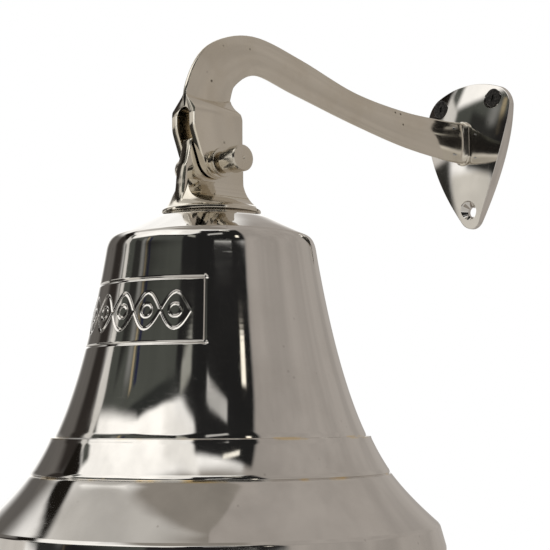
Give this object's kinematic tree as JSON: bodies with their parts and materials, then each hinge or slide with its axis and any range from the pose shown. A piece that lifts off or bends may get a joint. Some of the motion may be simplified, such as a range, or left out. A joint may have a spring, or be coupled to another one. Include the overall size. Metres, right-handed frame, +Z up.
{
  "type": "ship bell",
  "caption": "Flared ship bell that swings from a fork on a swan-neck wall bracket, with a linked clapper inside.",
  "frame": {"origin": "on the back face of the wall plate, level with the root of the arm", "axes": "+Z up, +Y into the wall, so the bell hangs towards -Y; +X is to the right when facing the wall"},
  "size_m": [0.2002, 0.2836, 0.2405],
  "materials": {
    "bell_nickel": "mirror-polished nickel plate on cast brass",
    "crown_nickel": "polished nickel plate on cast brass",
    "arm_nickel": "polished nickel plate on cast brass, lightly pitted",
    "plate_nickel": "mirror-polished nickel plate",
    "fitting_nickel": "turned and polished nickel plate",
    "clapper_nickel": "nickel plate, dulled at the ball",
    "screw_steel": "plain machine screws",
    "dark_screw": "darkened steel wood screws",
    "brass": "turned brass, unplated",
    "bronze": "sintered bronze bush",
    "fibre": "pressed fibre",
    "nylon": "white nylon"
  },
  "bodies": {
    "bracket": {"wall_plate": "plate_nickel", "bracket_arm": "arm_nickel", "arm_screws": "screw_steel", "wall_screws": "dark_screw", "pivot_bolt": "fitting_nickel", "pivot_nut": "fitting_nickel", "pivot_washers": "fitting_nickel", "thrust_washers": "nylon"},
    "bell": {"pivot_bush": "bronze", "crown_lug": "crown_nickel", "bell_shell": "bell_nickel", "crown_gasket": "fibre", "inner_gasket": "fibre", "inner_washer": "brass", "crown_nut": "brass", "clapper_eye": "fitting_nickel"},
    "link": {"clapper_link": "fitting_nickel"},
    "clapper": {"clapper_rod": "clapper_nickel", "clapper_ball": "clapper_nickel", "clapper_tail": "clapper_nickel"}
  },
  "joints": [
    {"name": "bell_swing", "type": "hinge", "parent": "bracket", "child": "bell", "pos_m": [0, -0.175, -0.031], "axis": [1, 0, 0], "range_deg": [-22, 22]},
    {"name": "link_swing", "type": "hinge", "parent": "bell", "child": "link", "pos_m": [0, -0.175, -0.08305], "axis": [1, 0, 0], "range_deg": [-32, 32]},
    {"name": "clapper_rock", "type": "hinge", "parent": "link", "child": "clapper", "pos_m": [0, -0.175, -0.096], "axis": [0, 1, 0], "range_deg": [-8, 8]}
  ]
}
